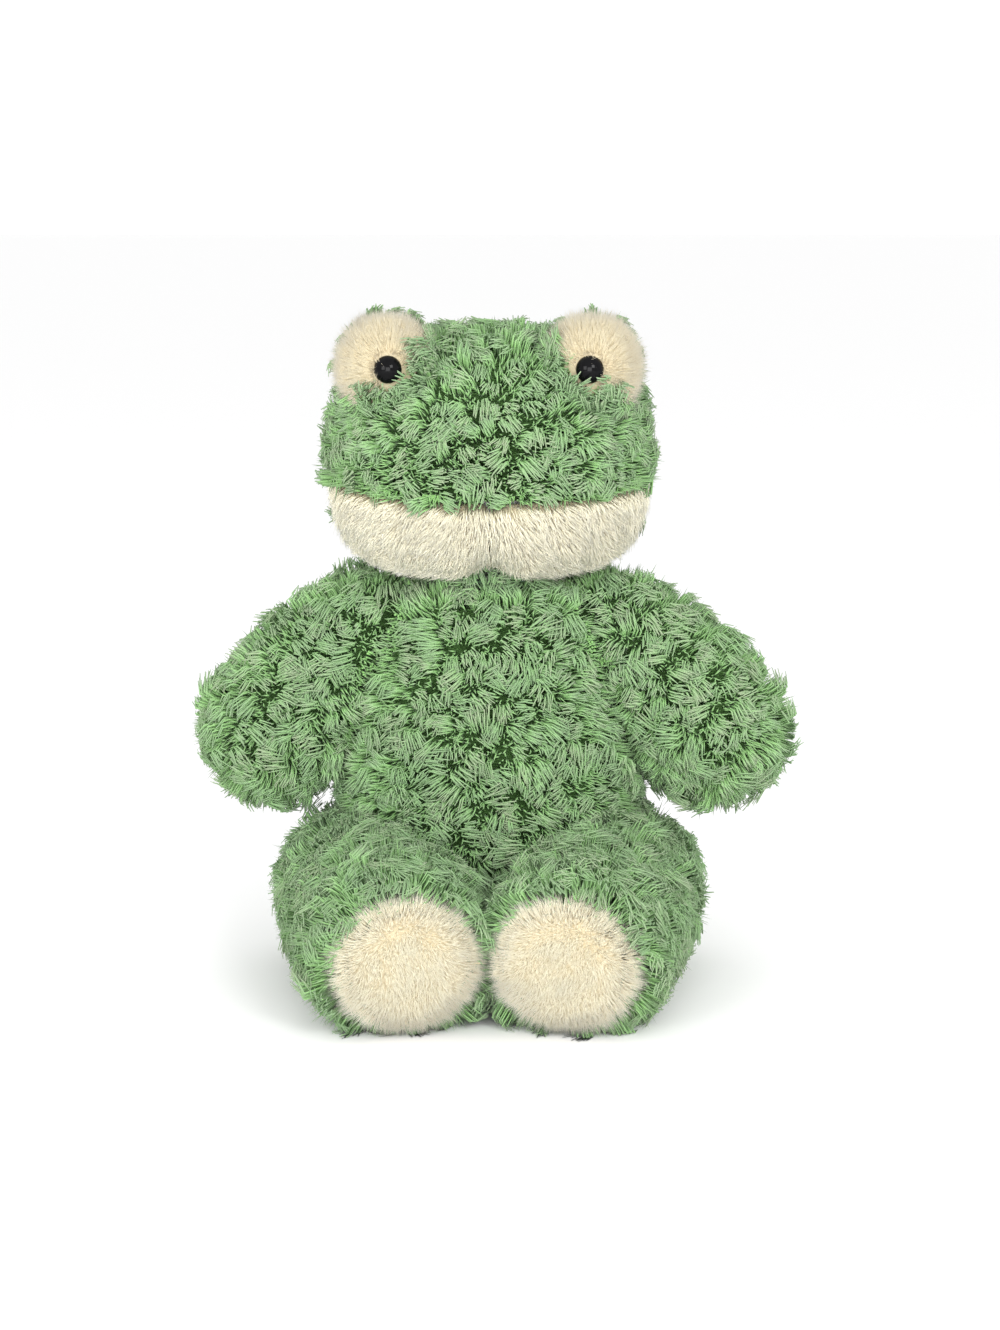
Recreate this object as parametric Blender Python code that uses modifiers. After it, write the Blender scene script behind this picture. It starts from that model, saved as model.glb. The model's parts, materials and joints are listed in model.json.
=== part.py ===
"""A sitting plush frog, taken apart into its sewn panels, fillings, eyes and seams.

Metres, +Z up. The frog faces -Y and sits with the flat of its seat on Z = 0. Left and right are the
frog's own, so its left side is at +X. The outside of every plush panel is the middle of its pile.
"""
import math

import bmesh
import bpy
from mathutils import Matrix, Vector

# Clearances shared by all pieces
GAP = 0.0003                # between two sewn or touching pieces
SWING_GAP = 0.0005          # round a part that turns
BLOCK = 0.4                 # size of the blocks that halve a form
WELD = 0.00003              # points of a cut nearer than this become one
TURN_MERGE = 0.0001         # points on the axis of a turned profile become one

# Plush: cloth with its pile
GREEN_WALL = 0.0070         # curly green plush
CREAM_INSET = 0.0025        # short cream plush lies this much lower than the green

# Torso
TORSO_WIDTH = 0.112
TORSO_DEPTH = 0.084
TORSO_HEIGHT = 0.154
TORSO_BACK = 0.002          # the torso's middle lies this far behind the origin
SEAT_SINK = 0.005           # how deep the seat is pressed flat
SIDE_SEAM_BACK = 0.010      # side seam, behind the origin

# Pouch of plastic pellets that weighs the seat
POUCH_WIDTH = 0.064
POUCH_DEPTH = 0.050
POUCH_HEIGHT = 0.026
POUCH_BACK = 0.008

# Neck: a firm wad of filling, held by a drawn thread
NECK_RADIUS = 0.020
NECK_RISE = 0.0036          # middle of the wad above the torso's top
NECK_THREAD_RADIUS = 0.0005
NECK_THREAD_DROP = 0.0036   # thread below the middle of the wad

# Head
HEAD_WIDTH = 0.118
HEAD_DEPTH = 0.095
HEAD_HEIGHT = 0.0875
HEAD_LIFT = 0.0005          # underside of the head above the middle of the neck
HEAD_FORWARD = 0.003        # middle of the head in front of the neck
MOUTH_RISE = 0.0330         # mouth line above the underside, at the middle of the head
MOUTH_TILT = math.radians(7.5)
EAR_SEAM_BACK = 0.008       # seam over the head, behind its middle

# Eye mounds
MOUND_WIDTH = 0.038
MOUND_DEPTH = 0.042
MOUND_HEIGHT = 0.039
MOUND_CREAM_INSET = 0.0015
MOUND_WALL = 0.0055
MOUND_SIDE = 0.037
MOUND_FORWARD = 0.019
MOUND_DROP = 0.0125         # middle of a mound below the top of the head
MOUND_SEAM_BACK = 0.002     # cream to green seam behind the mound's middle

# Safety eyes: a domed button with a stem, and the washer that locks it
EYE_RADIUS = 0.0050
EYE_DOME = 0.0040
EYE_SINK = 0.0012           # back of the button below the top of the pile
EYE_SIDE = -0.0010          # eye beside the mound's middle, outwards
STEM_RADIUS = 0.0015
STEM_LENGTH = 0.0072
WASHER_RADIUS = 0.0045
WASHER_THICKNESS = 0.0012
WASHER_SINK = 0.0019        # washer behind the foremost place of the cloth's inside

# Arms
ARM_WIDTH = 0.055
ARM_THICKNESS = 0.040
ARM_REACH = {"left": 0.083, "right": 0.080}     # from the shoulder's middle to the tip
SHOULDER_RADIUS = 0.0190
SHOULDER_SIDE = 0.0425
SHOULDER_RISE = 0.1310
SHOULDER_BACK = 0.002
ARM_DROOP = {"left": math.radians(43.5), "right": math.radians(46.0)}
ARM_FORWARD = math.radians(5.0)

# Legs
LEG_WIDTH = 0.062
LEG_THICKNESS = 0.056
LEG_REACH = 0.112           # from the hip's middle to the sole
HIP_RADIUS = 0.029
HIP_SIDE = 0.049
HIP_RISE = 0.0320
HIP_BACK = 0.002
LEG_INWARD = {"left": math.radians(12.5), "right": math.radians(11.5)}
LEG_DROOP = math.radians(3.4)
SOLE_DEPTH = 0.0060         # how far the sole's seam lies behind its middle

# Ring tables: height up the form, width, depth and forward shift, each as a share of the form's size
TORSO_RING_SHARES = [
    (1.000, 0.00, 0.00, 0.00), (0.992, 0.44, 0.42, 0.00), (0.960, 0.78, 0.68, 0.00),
    (0.850, 0.88, 0.81, 0.00), (0.680, 0.94, 0.92, 0.01), (0.480, 1.00, 1.00, 0.02),
    (0.290, 1.00, 1.00, 0.02), (0.120, 0.90, 0.92, 0.00), (0.020, 0.60, 0.64, 0.00),
    (0.000, 0.00, 0.00, 0.00)]
HEAD_RING_SHARES = [
    (1.000, 0.00, 0.00, 0.00), (0.975, 0.44, 0.42, -0.02), (0.900, 0.72, 0.68, -0.02),
    (0.750, 0.91, 0.88, -0.01), (0.560, 0.99, 0.98, 0.00), (0.380, 1.00, 1.00, 0.01),
    (0.210, 0.96, 0.96, 0.01), (0.080, 0.86, 0.86, 0.01), (0.012, 0.62, 0.60, 0.00),
    (0.000, 0.00, 0.00, 0.00)]
BALL_RING_SHARES = [
    (1.000, 0.00, 0.00, 0.00), (0.900, 0.62, 0.62, 0.00), (0.650, 0.97, 0.97, 0.00),
    (0.350, 0.97, 0.97, 0.00), (0.100, 0.62, 0.62, 0.00), (0.000, 0.00, 0.00, 0.00)]
ARM_RING_SHARES = [
    (1.000, 0.00, 0.00, 0.00), (0.970, 0.54, 0.54, 0.00), (0.880, 0.88, 0.88, 0.00),
    (0.720, 1.00, 1.00, 0.00), (0.540, 1.00, 0.98, 0.00), (0.370, 0.94, 0.94, 0.00),
    (0.210, 0.82, 0.86, 0.00), (0.060, 0.50, 0.54, 0.00), (0.000, 0.00, 0.00, 0.00)]
LEG_RING_SHARES = [
    (1.000, 0.00, 0.00, 0.00), (0.988, 0.56, 0.56, 0.00), (0.950, 0.90, 0.90, 0.00),
    (0.870, 1.00, 1.00, 0.00), (0.680, 0.99, 0.99, 0.00), (0.470, 0.97, 0.98, 0.00),
    (0.260, 0.97, 1.00, 0.00), (0.070, 0.66, 0.70, 0.00), (0.000, 0.00, 0.00, 0.00)]
POUCH_RING_SHARES = [
    (1.000, 0.00, 0.00, 0.00), (0.920, 0.70, 0.70, 0.00), (0.500, 1.00, 1.00, 0.00),
    (0.080, 0.70, 0.70, 0.00), (0.000, 0.00, 0.00, 0.00)]

# Sides of the round forms
BODY_SIDES = 12
CORE_SIDES = 10
LIMB_SIDES = 8
MOUND_SIDES = 8
BALL_SIDES = 18
BALL_RINGS = 10
PIN_SIDES = 12
THREAD_BENDS = 24
DOME_STEPS = 5
BALL_TURN = math.radians(23)
BALL_TURN_AXIS = Vector((1, 2, 3))
QUARTER_TURN = math.radians(90)
EDGE_ANGLE = math.radians(40)     # sharper edges than this stay sharp

# Colours and roughness
GREEN = (0.205, 0.375, 0.215, 1.0)
CREAM = (0.870, 0.815, 0.640, 1.0)
WHITE_FILLING = (0.880, 0.880, 0.860, 1.0)
POUCH_CLOTH = (0.740, 0.735, 0.700, 1.0)
BLACK_PLASTIC = (0.010, 0.010, 0.012, 1.0)
WASHER_PLASTIC = (0.780, 0.790, 0.800, 1.0)
THREAD = (0.190, 0.340, 0.200, 1.0)
CLOTH_ROUGHNESS = 0.95
EYE_ROUGHNESS = 0.06
WASHER_ROUGHNESS = 0.45

# Places worked out from the sizes above
TORSO_MIDDLE = Vector((0, TORSO_BACK, TORSO_HEIGHT / 2 - SEAT_SINK))
TORSO_TOP = TORSO_HEIGHT - SEAT_SINK
NECK_MIDDLE = Vector((0, 0, TORSO_TOP + NECK_RISE))
HEAD_BASE = NECK_MIDDLE.z + HEAD_LIFT
HEAD_MIDDLE = Vector((0, -HEAD_FORWARD, HEAD_BASE + HEAD_HEIGHT / 2))
INNER_PILE_SHARE = math.cos(math.pi / BALL_SIDES) * math.cos(math.pi / (2 * BALL_RINGS))
SIDES = {"left": 1, "right": -1}


def clear_scene():
    """Take every object out of the scene."""
    for thing in list(bpy.data.objects):
        bpy.data.objects.remove(thing, do_unlink=True)


def new_collection(name):
    """Make a collection under the scene."""
    group = bpy.data.collections.new(name)
    bpy.context.scene.collection.children.link(group)
    return group


clear_scene()
PARTS = new_collection("plush_frog")
CUTTERS = new_collection("cutters")


def finish(name, colour, roughness):
    """A plain material with one colour."""
    material = bpy.data.materials.new(name)
    material.use_nodes = True
    shader = material.node_tree.nodes["Principled BSDF"]
    shader.inputs["Base Color"].default_value = colour
    shader.inputs["Roughness"].default_value = roughness
    shader.inputs["Metallic"].default_value = 0
    material.diffuse_color = colour
    return material


def add_object(name, mesh, group, place=None):
    """Put a mesh into the scene; place is a world matrix."""
    thing = bpy.data.objects.new(name, mesh)
    group.objects.link(thing)
    if place is not None:
        thing.matrix_world = place
    return thing


def evaluated_box(thing):
    """Lowest corner and size of an object's modified mesh, in its own axes."""
    bpy.context.view_layer.update()
    solid = thing.evaluated_get(bpy.context.evaluated_depsgraph_get())
    corners = [vertex.co for vertex in solid.data.vertices]
    low = Vector([min(corner[axis] for corner in corners) for axis in range(3)])
    high = Vector([max(corner[axis] for corner in corners) for axis in range(3)])
    return low, high - low


def soft_mesh(name, ring_shares, sides, size, middle, rounded=True):
    """A closed cage; the form that it gives, rounded or plain, has this size and middle."""
    mesh = bpy.data.meshes.new(name)
    cage = bmesh.new()
    rings = len(ring_shares) - 1
    bmesh.ops.create_uvsphere(cage, u_segments=sides, v_segments=rings, radius=1)
    for vertex in cage.verts:
        ring = round(math.acos(max(-1, min(1, vertex.co.z))) / math.pi * rings)
        height, width, depth, forward = ring_shares[ring]
        around = math.atan2(vertex.co.y, vertex.co.x) + math.pi / (2 * sides)
        vertex.co = (width * math.cos(around), depth * math.sin(around) - forward, height)
    if not rounded:
        bmesh.ops.triangulate(cage, faces=cage.faces, quad_method="FIXED")
    cage.to_mesh(mesh)
    cage.free()
    mesh.shade_smooth()
    trial = add_object(name, mesh, CUTTERS)
    if rounded:
        smooth(trial)
    low, span = evaluated_box(trial)
    grow = Matrix.Diagonal(Vector([size[axis] / span[axis] for axis in range(3)])).to_4x4()
    mesh.transform(grow @ Matrix.Translation(-low - span / 2))
    mesh.transform(Matrix.Translation(middle))
    bpy.data.objects.remove(trial, do_unlink=True)
    return mesh


def smooth(thing):
    """Round a cage with one level of subdivision."""
    step = thing.modifiers.new("round", "SUBSURF")
    step.levels = 1
    step.render_levels = 1
    return thing


def plain_piece(name, mesh, place, colour):
    """A soft part with a mesh and a material of its own."""
    own_mesh = mesh.copy()
    own_mesh.name = name
    piece = add_object(name, own_mesh, PARTS, place)
    piece.data.materials.append(finish(name, colour, CLOTH_ROUGHNESS))
    return piece


def soft_piece(name, mesh, place, colour):
    """A soft part whose cage is rounded."""
    return smooth(plain_piece(name, mesh, place, colour))


def guide(thing):
    """Mark an object as a cutter."""
    thing.hide_render = True
    thing.display_type = "WIRE"
    return thing


def plain_cutter(name, mesh, place):
    """A mesh used to cut others."""
    return guide(add_object(name, mesh, CUTTERS, place))


def soft_cutter(name, mesh, place):
    """A rounded cage used to cut others."""
    return smooth(plain_cutter(name, mesh, place))


def cut(piece, cutters):
    """Take these cutters out of a piece, one after another."""
    for cutter in cutters:
        step = piece.modifiers.new("cut_by_" + cutter.name, "BOOLEAN")
        step.operation = "DIFFERENCE"
        step.solver = "EXACT"
        step.object = cutter
        weld = piece.modifiers.new("weld", "WELD")
        weld.merge_threshold = WELD
    return piece


def keep_inside(piece, bounds):
    """Keep only what lies inside another form."""
    step = piece.modifiers.new("bounds", "BOOLEAN")
    step.operation = "INTERSECT"
    step.solver = "EXACT"
    step.object = bounds
    return piece


def ball_mesh(name, radius):
    """A plain ball round the origin of its own object."""
    mesh = bpy.data.meshes.new(name)
    shape = bmesh.new()
    bmesh.ops.create_uvsphere(shape, u_segments=BALL_SIDES, v_segments=BALL_RINGS, radius=radius)
    shape.to_mesh(mesh)
    shape.free()
    mesh.shade_smooth()
    return mesh


def ball_cutter(name, middle, radius):
    """A ball used as a cutter, turned so that none of its edges lies along a seam."""
    place = Matrix.Translation(middle) @ Matrix.Rotation(BALL_TURN, 4, BALL_TURN_AXIS)
    return plain_cutter(name, ball_mesh(name, radius), place)


def socket_cutter(name, middle, radius):
    """A ball whose flattest places still clear a turning ball of this radius."""
    return ball_cutter(name, middle, (radius + SWING_GAP) / INNER_PILE_SHARE)


def block_cutter(name, point, outward):
    """A block that takes away all that lies past a plane; outward points into the block."""
    mesh = bpy.data.meshes.new(name)
    shape = bmesh.new()
    bmesh.ops.create_cube(shape, size=BLOCK)
    shape.to_mesh(mesh)
    shape.free()
    facing = outward.normalized()
    turn = facing.to_track_quat("Z", "Y").to_matrix().to_4x4()
    return plain_cutter(name, mesh, Matrix.Translation(point + facing * (BLOCK / 2)) @ turn)


def seam_blocks(name, point, facing):
    """Two blocks with a sewing gap between them: one takes the far side, one the near side."""
    facing = facing.normalized()
    far = block_cutter(name + "_far", point - facing * (GAP / 2), facing)
    near = block_cutter(name + "_near", point + facing * (GAP / 2), -facing)
    return far, near


def disc_mesh(name, radius, low, high):
    """A short round bar along the Z axis of its own object."""
    mesh = bpy.data.meshes.new(name)
    shape = bmesh.new()
    bmesh.ops.create_cone(shape, cap_ends=True, segments=PIN_SIDES, radius1=radius, radius2=radius,
                          depth=high - low, matrix=Matrix.Translation((0, 0, (low + high) / 2)))
    shape.to_mesh(mesh)
    shape.free()
    mesh.shade_smooth()
    mesh.set_sharp_from_angle(angle=EDGE_ANGLE)
    return mesh


def disc_cutter(name, radius, low, high, place):
    """A short round bar used to cut others."""
    return plain_cutter(name, disc_mesh(name, radius, low, high), place)


def turned_place(origin, along, across):
    """World matrix of a part whose own Z runs along a direction and own X lies across it."""
    axis_z = along.normalized()
    axis_x = (across - axis_z * across.dot(axis_z)).normalized()
    axis_y = axis_z.cross(axis_x)
    return Matrix.Translation(origin) @ Matrix((axis_x, axis_y, axis_z)).transposed().to_4x4()


def less(size, margin):
    """A size with the same margin taken off all round."""
    return tuple(length - 2 * margin for length in size)


FLOOR = block_cutter("floor", Vector((0, 0, 0)), Vector((0, 0, -1)))
HEAD_SIZE = (HEAD_WIDTH, HEAD_DEPTH, HEAD_HEIGHT)
TORSO_SIZE = (TORSO_WIDTH, TORSO_DEPTH, TORSO_HEIGHT)
AT_REST = Matrix.Identity(4)


def shoulder_middle(side):
    """Centre of a shoulder."""
    return Vector((SIDES[side] * SHOULDER_SIDE, SHOULDER_BACK, SHOULDER_RISE))


def hip_middle(side):
    """Centre of a hip."""
    return Vector((SIDES[side] * HIP_SIDE, HIP_BACK, HIP_RISE))


# Torso: belly and back panels, filling and pellet pouch
def build_torso():
    outer = soft_mesh("torso_outer", TORSO_RING_SHARES, BODY_SIDES, TORSO_SIZE, TORSO_MIDDLE)
    inner = soft_mesh("torso_inner", TORSO_RING_SHARES, CORE_SIDES, less(TORSO_SIZE, GREEN_WALL),
                      TORSO_MIDDLE, rounded=False)
    filling = soft_mesh("torso_filling", TORSO_RING_SHARES, CORE_SIDES,
                        less(TORSO_SIZE, GREEN_WALL + GAP), TORSO_MIDDLE, rounded=False)
    hollow = plain_cutter("torso_hollow", inner, AT_REST)
    rear, front = seam_blocks("side_seam", Vector((0, SIDE_SEAM_BACK, 0)), Vector((0, 1, 0)))
    sockets = [socket_cutter("neck_socket", NECK_MIDDLE, NECK_RADIUS)]
    for side in SIDES:
        sockets.append(socket_cutter(side + "_shoulder_socket", shoulder_middle(side), SHOULDER_RADIUS))
        sockets.append(socket_cutter(side + "_hip_socket", hip_middle(side), HIP_RADIUS))
    for name, block in (("belly_panel", rear), ("back_panel", front)):
        panel = soft_piece(name, outer, AT_REST, GREEN)
        cut(panel, sockets + [hollow, FLOOR, block])

    pouch_floor = TORSO_MIDDLE.z - TORSO_HEIGHT / 2 + GREEN_WALL
    pouch_middle = Vector((0, POUCH_BACK, pouch_floor + POUCH_HEIGHT / 3))
    pouch_size = (POUCH_WIDTH, POUCH_DEPTH, POUCH_HEIGHT)
    pouch = soft_mesh("pouch", POUCH_RING_SHARES, LIMB_SIDES, pouch_size, pouch_middle)
    pocket = soft_mesh("pocket", POUCH_RING_SHARES, LIMB_SIDES, less(pouch_size, -GAP), pouch_middle)
    hip_sockets = [socket for socket in sockets if "hip" in socket.name]

    stuffing = plain_piece("torso_stuffing", filling, AT_REST, WHITE_FILLING)
    cut(stuffing, sockets + [soft_cutter("pouch_pocket", pocket, AT_REST)])
    bag = soft_piece("pellet_pouch", pouch, AT_REST, POUCH_CLOTH)
    keep_inside(bag, plain_cutter("pouch_bounds", filling, AT_REST))
    cut(bag, hip_sockets)


# Neck: the wad of filling that joins head and torso, and its drawn thread
def build_neck():
    wad = add_object("neck_wad", ball_mesh("neck_wad", NECK_RADIUS), PARTS,
                     Matrix.Translation(NECK_MIDDLE))
    wad.data.materials.append(finish("neck_wad", WHITE_FILLING, CLOTH_ROUGHNESS))
    round_radius = math.sqrt(NECK_RADIUS ** 2 - NECK_THREAD_DROP ** 2) + GAP + NECK_THREAD_RADIUS
    path = bpy.data.curves.new("neck_seam_thread", "CURVE")
    path.dimensions = "3D"
    path.bevel_depth = NECK_THREAD_RADIUS
    path.bevel_resolution = 0
    spline = path.splines.new("POLY")
    spline.points.add(THREAD_BENDS - 1)
    for index, point in enumerate(spline.points):
        angle = math.tau * index / THREAD_BENDS
        point.co = (round_radius * math.cos(angle), round_radius * math.sin(angle), 0, 1)
    spline.use_cyclic_u = True
    add_object("neck_seam_thread", path, PARTS,
               Matrix.Translation(NECK_MIDDLE - Vector((0, 0, NECK_THREAD_DROP))))
    path.materials.append(finish("neck_seam_thread", THREAD, CLOTH_ROUGHNESS))


# Head: crown, back and two jaw panels round one filling
def build_head():
    place = Matrix.Translation(HEAD_MIDDLE)
    centre = Vector((0, 0, 0))
    outer = soft_mesh("head_outer", HEAD_RING_SHARES, BODY_SIDES, HEAD_SIZE, centre)
    jaw_size = (HEAD_WIDTH - 2 * CREAM_INSET, HEAD_DEPTH - 2 * CREAM_INSET, HEAD_HEIGHT)
    jaw = soft_mesh("jaw_outer", HEAD_RING_SHARES, BODY_SIDES, jaw_size, centre)
    inner = soft_mesh("head_inner", HEAD_RING_SHARES, CORE_SIDES, less(HEAD_SIZE, GREEN_WALL), centre,
                      rounded=False)
    filling = soft_mesh("head_filling", HEAD_RING_SHARES, CORE_SIDES,
                        less(HEAD_SIZE, GREEN_WALL + GAP), centre, rounded=False)
    hollow = plain_cutter("head_hollow", inner, place)
    socket = socket_cutter("head_socket", NECK_MIDDLE, NECK_RADIUS)

    over_back, over_front = seam_blocks("ear_seam", HEAD_MIDDLE + Vector((0, EAR_SEAM_BACK, 0)),
                                        Vector((0, 1, 0)))
    mouth_point = Vector((0, HEAD_MIDDLE.y, HEAD_BASE + MOUTH_RISE))
    mouth_facing = Vector((0, -math.sin(MOUTH_TILT), math.cos(MOUTH_TILT)))
    above, below = seam_blocks("mouth", mouth_point, mouth_facing)
    left_half, right_half = seam_blocks("chin_seam", Vector((0, 0, 0)), Vector((1, 0, 0)))

    crown = soft_piece("crown_panel", outer, place, GREEN)
    back = soft_piece("head_back_panel", outer, place, GREEN)
    left_jaw = soft_piece("left_jaw_panel", jaw, place, CREAM)
    right_jaw = soft_piece("right_jaw_panel", jaw, place, CREAM)
    for piece, blocks in ((crown, (over_back, below)), (back, (over_front,)),
                          (left_jaw, (over_back, above, right_half)),
                          (right_jaw, (over_back, above, left_half))):
        cut(piece, (hollow, *blocks) if piece is crown else (hollow, socket, *blocks))
    stuffing = plain_piece("head_stuffing", filling, place, WHITE_FILLING)
    cut(stuffing, (socket,))


# Eye mounds: cream front, green back and filling, sewn to the top of the head
def build_mound(side):
    middle = Vector((SIDES[side] * MOUND_SIDE, HEAD_MIDDLE.y - MOUND_FORWARD, HEAD_BASE + HEAD_HEIGHT - MOUND_DROP))
    place = Matrix.Translation(middle)
    centre = Vector((0, 0, 0))
    size = (MOUND_WIDTH, MOUND_DEPTH, MOUND_HEIGHT)
    outer = soft_mesh(side + "_mound", BALL_RING_SHARES, MOUND_SIDES, size, centre)
    cream = soft_mesh(side + "_mound_cream", BALL_RING_SHARES, MOUND_SIDES,
                      less(size, MOUND_CREAM_INSET), centre)
    inner = soft_mesh(side + "_mound_inner", BALL_RING_SHARES, CORE_SIDES, less(size, MOUND_WALL), centre,
                      rounded=False)
    filling = soft_mesh(side + "_mound_filling", BALL_RING_SHARES, CORE_SIDES,
                        less(size, MOUND_WALL + GAP), centre, rounded=False)
    hollow = plain_cutter(side + "_mound_hollow", inner, place)
    bed_mesh = soft_mesh(side + "_mound_bed", HEAD_RING_SHARES, BODY_SIDES, less(HEAD_SIZE, -GAP),
                         centre)
    bed = soft_cutter(side + "_mound_bed", bed_mesh, Matrix.Translation(HEAD_MIDDLE))
    behind, before = seam_blocks(side + "_mound_seam", middle + Vector((0, MOUND_SEAM_BACK, 0)),
                                 Vector((0, 1, 0)))

    eye_place = turned_place(middle + Vector((SIDES[side] * EYE_SIDE, 0, 0)), Vector((0, -1, 0)),
                             Vector((1, 0, 0)))
    front = MOUND_DEPTH / 2 - MOUND_CREAM_INSET
    seat = front - EYE_SINK
    washer_top = MOUND_DEPTH / 2 - MOUND_WALL - WASHER_SINK
    stem_end = seat - STEM_LENGTH
    washer_low = washer_top - WASHER_THICKNESS
    eye_well = disc_cutter(side + "_eye_well", EYE_RADIUS + GAP, seat - GAP, MOUND_DEPTH, eye_place)
    stem_hole = disc_cutter(side + "_stem_hole", STEM_RADIUS + GAP, stem_end - GAP, MOUND_DEPTH, eye_place)
    washer_well = disc_cutter(side + "_washer_well", WASHER_RADIUS + GAP, washer_low - GAP, front,
                              eye_place)

    cream_panel = soft_piece(side + "_eye_mound_front", cream, place, CREAM)
    cut(cream_panel, (hollow, behind, bed, eye_well, stem_hole))
    green_panel = soft_piece(side + "_eye_mound_back", outer, place, GREEN)
    cut(green_panel, (hollow, before, bed))
    stuffing = plain_piece(side + "_eye_mound_stuffing", filling, place, WHITE_FILLING)
    cut(stuffing, (bed, washer_well, stem_hole))
    build_eye(side, eye_place, seat, washer_top)


def build_eye(side, eye_place, seat, washer_top):
    """Domed button on its stem, turned round the eye's own Z axis, and its washer."""
    profile = bpy.data.meshes.new(side + "_eye")
    outline = [(0, seat + EYE_DOME)]
    for step in range(1, DOME_STEPS + 1):
        angle = QUARTER_TURN * step / DOME_STEPS
        outline.append((EYE_RADIUS * math.sin(angle), seat + EYE_DOME * math.cos(angle)))
    outline.append((STEM_RADIUS, seat))
    outline.append((STEM_RADIUS, seat - STEM_LENGTH))
    outline.append((0, seat - STEM_LENGTH))
    line = bmesh.new()
    points = [line.verts.new((radius, 0, height)) for radius, height in outline]
    for first, second in zip(points, points[1:]):
        line.edges.new((first, second))
    line.to_mesh(profile)
    line.free()
    eye = add_object(side + "_eye", profile, PARTS, eye_place)
    turn = eye.modifiers.new("turn", "SCREW")
    turn.steps = PIN_SIDES
    turn.render_steps = PIN_SIDES
    turn.use_merge_vertices = True
    turn.merge_threshold = TURN_MERGE
    turn.use_smooth_shade = True
    eye.data.materials.append(finish(side + "_eye", BLACK_PLASTIC, EYE_ROUGHNESS))
    washer = add_object(side + "_eye_washer",
                        disc_mesh(side + "_eye_washer", WASHER_RADIUS, washer_top - WASHER_THICKNESS,
                                  washer_top), PARTS, eye_place)
    washer.data.materials.append(finish(side + "_eye_washer", WASHER_PLASTIC, WASHER_ROUGHNESS))
    bore = disc_cutter(side + "_washer_bore", STEM_RADIUS + GAP, seat - STEM_LENGTH - GAP, seat, eye_place)
    cut(washer, (bore,))


def limb_bed(name, middle, radius):
    """The torso's form, with the ball that a limb's root may fill left out of it."""
    mesh = soft_mesh(name, TORSO_RING_SHARES, BODY_SIDES, less(TORSO_SIZE, -SWING_GAP), TORSO_MIDDLE)
    bed = soft_cutter(name, mesh, AT_REST)
    return cut(bed, (ball_cutter(name + "_root", middle, radius),))


def limb_meshes(name, ring_shares, size, root):
    """Outer, hollow and filling forms of a limb; its own Z runs from root to tip."""
    middle = Vector((0, 0, size[2] / 2 - root))
    outer = soft_mesh(name + "_outer", ring_shares, LIMB_SIDES, size, middle)
    inner = soft_mesh(name + "_inner", ring_shares, CORE_SIDES, less(size, GREEN_WALL), middle,
                      rounded=False)
    filling = soft_mesh(name + "_filling", ring_shares, CORE_SIDES, less(size, GREEN_WALL + GAP), middle,
                        rounded=False)
    return outer, inner, filling


# Arms: front and back panels round one filling
def build_arm(side):
    shoulder = shoulder_middle(side)
    droop = ARM_DROOP[side]
    along = Vector((SIDES[side] * math.cos(droop) * math.cos(ARM_FORWARD), -math.sin(ARM_FORWARD),
                    -math.sin(droop) * math.cos(ARM_FORWARD)))
    across = Vector((0, 1, 0)).cross(along)
    place = turned_place(shoulder, along, across)
    size = (ARM_WIDTH, ARM_THICKNESS, ARM_REACH[side] + SHOULDER_RADIUS)
    outer, inner, filling = limb_meshes(side + "_arm", ARM_RING_SHARES, size, SHOULDER_RADIUS)
    hollow = plain_cutter(side + "_arm_hollow", inner, place)
    bed = limb_bed(side + "_arm_bed", shoulder, SHOULDER_RADIUS)
    seam_facing = place.to_3x3() @ Vector((0, 1, 0))
    if seam_facing.y > 0:
        seam_facing = -seam_facing
    ahead, behind = seam_blocks(side + "_arm_seam", shoulder, seam_facing)
    for name, block in (("_arm_front_panel", behind), ("_arm_back_panel", ahead)):
        panel = soft_piece(side + name, outer, place, GREEN)
        cut(panel, (bed, hollow, block))
    stuffing = plain_piece(side + "_arm_stuffing", filling, place, WHITE_FILLING)
    cut(stuffing, (bed,))


# Legs: top and under panels, cream sole and filling
def build_leg(side):
    hip = hip_middle(side)
    inward = LEG_INWARD[side]
    along = Vector((-SIDES[side] * math.sin(inward) * math.cos(LEG_DROOP),
                    -math.cos(inward) * math.cos(LEG_DROOP), -math.sin(LEG_DROOP)))
    place = turned_place(hip, along, Vector((1, 0, 0)))
    size = (LEG_WIDTH, LEG_THICKNESS, LEG_REACH + HIP_RADIUS)
    outer, inner, filling = limb_meshes(side + "_leg", LEG_RING_SHARES, size, HIP_RADIUS)
    hollow = plain_cutter(side + "_leg_hollow", inner, place)
    bed = limb_bed(side + "_leg_bed", hip, HIP_RADIUS)
    up = along.cross(Vector((SIDES[side], 0, 0))).normalized()
    if up.z < 0:
        up = -up
    over, under = seam_blocks(side + "_leg_seam", hip, up)
    tip, shank = seam_blocks(side + "_sole_seam", hip + along * (LEG_REACH - SOLE_DEPTH), along)
    middle_wall = block_cutter(side + "_leg_middle", Vector((SIDES[side] * GAP / 2, 0, 0)),
                               Vector((-SIDES[side], 0, 0)))
    top = soft_piece(side + "_leg_top_panel", outer, place, GREEN)
    bottom = soft_piece(side + "_leg_under_panel", outer, place, GREEN)
    sole = soft_piece(side + "_sole_panel", outer, place, CREAM)
    cut(top, (bed, hollow, middle_wall, under, tip))
    cut(bottom, (bed, hollow, middle_wall, over, tip, FLOOR))
    cut(sole, (hollow, shank))
    stuffing = plain_piece(side + "_leg_stuffing", filling, place, WHITE_FILLING)
    cut(stuffing, (bed,))


build_torso()
build_neck()
build_head()
for frog_side in SIDES:
    build_mound(frog_side)
    build_arm(frog_side)
    build_leg(frog_side)
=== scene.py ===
"""A sitting plush frog of curly green plush, with a cream jaw, cream eye mounds and cream soles.

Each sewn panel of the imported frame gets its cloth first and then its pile: curls on the green plush,
short combed hair on the cream. Metres, +Z up; the frog faces -Y and its own left side is at +X.
"""

import json
import math

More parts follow.
